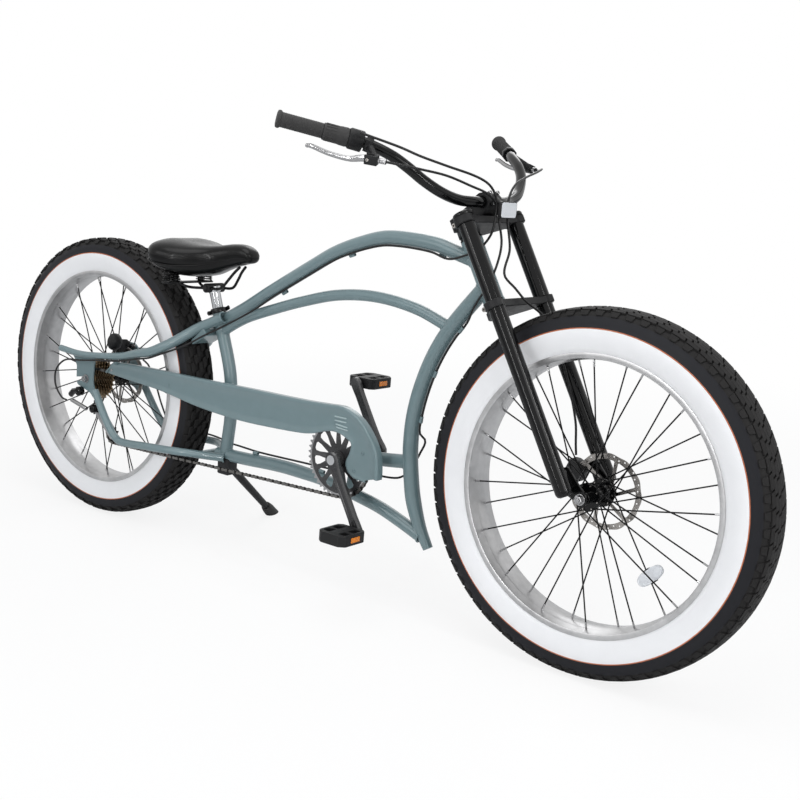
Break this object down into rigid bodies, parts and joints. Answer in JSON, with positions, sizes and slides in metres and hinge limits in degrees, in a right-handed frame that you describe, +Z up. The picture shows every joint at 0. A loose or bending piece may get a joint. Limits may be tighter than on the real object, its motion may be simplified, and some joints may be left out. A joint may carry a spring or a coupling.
{
  "type": "stretch cruiser bicycle",
  "caption": "Long low cruiser bicycle on fat tyres, leaning on its stand, with turning steering, wheels, cranks, levers, gear change, sliding saddle post and folding stand.",
  "frame": {"origin": "middle of the bicycle's box, on the ground that its tyres and stand rest on", "axes": "+X forwards along the bicycle, +Y to the rider's left, the side that it leans to, +Z up"},
  "size_m": [2.2416, 0.7982, 1.11],
  "materials": {
    "frame_paint": "gloss blue-grey enamel",
    "black_gloss": "gloss black",
    "black_matte": "matte black",
    "rubber": "black rubber with a pale side band",
    "silver": "polished",
    "reflector_clear": "clear prismatic",
    "steel": "brushed",
    "dark_steel": "oiled",
    "crank_black": "satin black",
    "chrome": "bright",
    "saddle_vinyl": "black vinyl",
    "cable_black": "satin black",
    "grip_rubber": "ribbed black"
  },
  "bodies": {
    "frame": {"arch_tube": "frame_paint", "bottom_tube": "frame_paint", "chain": "dark_steel", "chain_guard": "frame_paint", "chain_lower_run": "dark_steel", "derailleur_mount": "black_gloss", "down_tube": "frame_paint", "head_tube": "frame_paint", "lower_stays": "frame_paint", "rear_axle": "steel", "rear_brake_cable": "cable_black", "rear_caliper": "black_matte", "rear_reflector": "black_matte", "seat_collar": "black_matte", "seat_tube": "frame_paint", "shift_cable": "cable_black", "top_tube": "frame_paint", "upper_stays": "frame_paint"},
    "steering_assembly": {"brake_bracket_left": "black_matte", "brake_bracket_right": "black_matte", "fork_leg_left": "black_gloss", "fork_leg_right": "black_gloss", "front_axle": "steel", "front_brake_cable": "cable_black", "front_caliper": "black_matte", "front_reflector": "reflector_clear", "grip_left": "grip_rubber", "grip_right": "grip_rubber", "handlebar": "black_gloss", "lower_crown": "black_gloss", "shifter_housing": "black_matte", "stem": "black_matte", "upper_crown": "black_gloss"},
    "front_wheel": {"front_tyre": "rubber", "front_rim": "silver", "front_hub": "black_gloss", "front_rotor": "steel"},
    "rear_wheel": {"rear_tyre": "rubber", "rear_rim": "silver", "rear_hub": "black_gloss", "rear_rotor": "steel"},
    "sprockets": {"freewheel": "dark_steel"},
    "cranks": {"chainring": "crank_black", "crank_left": "crank_black", "crank_right": "crank_black"},
    "right_pedal": {"pedal_right": "black_matte"},
    "left_pedal": {"pedal_left": "black_matte"},
    "right_lever": {"brake_lever_right": "black_gloss"},
    "left_lever": {"brake_lever_left": "black_gloss"},
    "front_arm": {"front_caliper_arm": "silver"},
    "rear_arm": {"rear_caliper_arm": "silver"},
    "shift_grip": {"twist_grip": "grip_rubber"},
    "link_pair": {"derailleur_links": "silver"},
    "knuckle": {"derailleur_knuckle": "black_gloss"},
    "cage": {"derailleur_cage": "black_gloss"},
    "upper_pulley": {"guide_pulley": "black_matte"},
    "lower_pulley": {"tension_pulley": "black_matte"},
    "seat": {"saddle": "saddle_vinyl", "seatpost": "chrome"},
    "stand": {"kickstand_leg": "black_matte"}
  },
  "joints": [
    {"name": "steering_turn", "type": "hinge", "parent": "frame", "child": "steering_assembly", "pos_m": [0.47086, -0.03702, 0.71409], "axis": [-0.5, 0.0966, 0.8606], "range_deg": [-50, 50], "deforming": ["shift_cable", "rear_brake_cable"]},
    {"name": "front_wheel_spin", "type": "hinge", "parent": "steering_assembly", "child": "front_wheel", "pos_m": [0.7458, -0.0752, 0.37382], "axis": [0, 0.9938, -0.1115], "continuous": true},
    {"name": "rear_wheel_spin", "type": "hinge", "parent": "frame", "child": "rear_wheel", "pos_m": [-0.7458, -0.0752, 0.37382], "axis": [0, 0.9938, -0.1115], "continuous": true},
    {"name": "crank_spin", "type": "hinge", "parent": "frame", "child": "cranks", "pos_m": [0.1349, -0.07994, 0.33158], "axis": [0, 0.9938, -0.1115], "continuous": true},
    {"name": "sprocket_spin", "type": "hinge", "parent": "frame", "child": "sprockets", "pos_m": [-0.7458, -0.0752, 0.37382], "axis": [0, 0.9938, -0.1115], "continuous": true},
    {"name": "right_pedal_spin", "type": "hinge", "parent": "cranks", "child": "right_pedal", "pos_m": [0.22067, -0.23543, 0.20133], "axis": [0, 0.9938, -0.1115], "continuous": true},
    {"name": "left_pedal_spin", "type": "hinge", "parent": "cranks", "child": "left_pedal", "pos_m": [0.04913, 0.07555, 0.46183], "axis": [0, 0.9938, -0.1115], "continuous": true},
    {"name": "right_brake_pull", "type": "hinge", "parent": "steering_assembly", "child": "right_lever", "pos_m": [0.34087, -0.29668, 1.02046], "axis": [-0.3263, 0.9219, 0.2089], "range_deg": [0, 6.5], "stiffness_Nm_per_rad": 2, "springref_deg": -20.05},
    {"name": "left_brake_pull", "type": "hinge", "parent": "steering_assembly", "child": "left_lever", "pos_m": [0.31572, 0.30973, 0.96119], "axis": [0.3403, 0.8487, -0.4048], "range_deg": [0, 6.5], "stiffness_Nm_per_rad": 2, "springref_deg": -20.05},
    {"name": "front_arm_swing", "type": "hinge", "parent": "steering_assembly", "child": "front_arm", "pos_m": [0.67255, 0.00114, 0.39503], "axis": [0, 0.9938, -0.1115], "range_deg": [0, 10]},
    {"name": "rear_arm_swing", "type": "hinge", "parent": "frame", "child": "rear_arm", "pos_m": [-0.75543, -0.00484, 0.44483], "axis": [0, 0.9938, -0.1115], "range_deg": [0, 10]},
    {"name": "shift_twist", "type": "hinge", "parent": "steering_assembly", "child": "shift_grip", "pos_m": [0.26613, -0.30553, 1.06322], "axis": [0.6768, 0.6892, -0.2589], "range_deg": [0, 100]},
    {"name": "derailleur_shift", "type": "slide", "parent": "frame", "child": "knuckle", "axis": [-0.24, 0.9033, -0.3555], "range_m": [0, 0.03185], "deforming": ["chain_lower_run"]},
    {"name": "derailleur_link_swing", "type": "hinge", "parent": "frame", "child": "link_pair", "pos_m": [-0.7938, -0.17189, 0.31926], "axis": [0.2065, 0.4054, 0.8905], "range_deg": [0, 28.1]},
    {"name": "cage_swing", "type": "hinge", "parent": "knuckle", "child": "cage", "pos_m": [-0.716, -0.1465, 0.30333], "axis": [0, 0.9938, -0.1115], "range_deg": [-1, 32]},
    {"name": "upper_pulley_spin", "type": "hinge", "parent": "cage", "child": "upper_pulley", "pos_m": [-0.716, -0.1465, 0.30333], "axis": [0, 0.9938, -0.1115], "continuous": true},
    {"name": "lower_pulley_spin", "type": "hinge", "parent": "cage", "child": "lower_pulley", "pos_m": [-0.65, -0.15325, 0.24321], "axis": [0, 0.9938, -0.1115], "continuous": true},
    {"name": "seat_height", "type": "slide", "parent": "frame", "child": "seat", "axis": [-0.3387, 0.1049, 0.935], "range_m": [0, 0.06]},
    {"name": "stand_fold", "type": "hinge", "parent": "frame", "child": "stand", "pos_m": [-0.29, -0.06434, 0.20153], "axis": [0.1442, 0.6958, 0.7037], "range_deg": [0, 60.4]}
  ],
  "couplings": [
    {"joint": "sprocket_spin", "follows": "crank_spin", "ratio": 3.1429},
    {"joint": "upper_pulley_spin", "follows": "crank_spin", "ratio": -4},
    {"joint": "lower_pulley_spin", "follows": "crank_spin", "ratio": 4},
    {"joint": "front_arm_swing", "follows": "left_brake_pull", "ratio": 1.4},
    {"joint": "rear_arm_swing", "follows": "right_brake_pull", "ratio": 1.4},
    {"joint": "shift_twist", "follows": "derailleur_shift", "rad_per_m": 54.798},
    {"joint": "derailleur_link_swing", "follows": "derailleur_shift", "rad_per_m": 15.344},
    {"joint": "cage_swing", "follows": "derailleur_shift", "rad_per_m": 16.44}
  ]
}
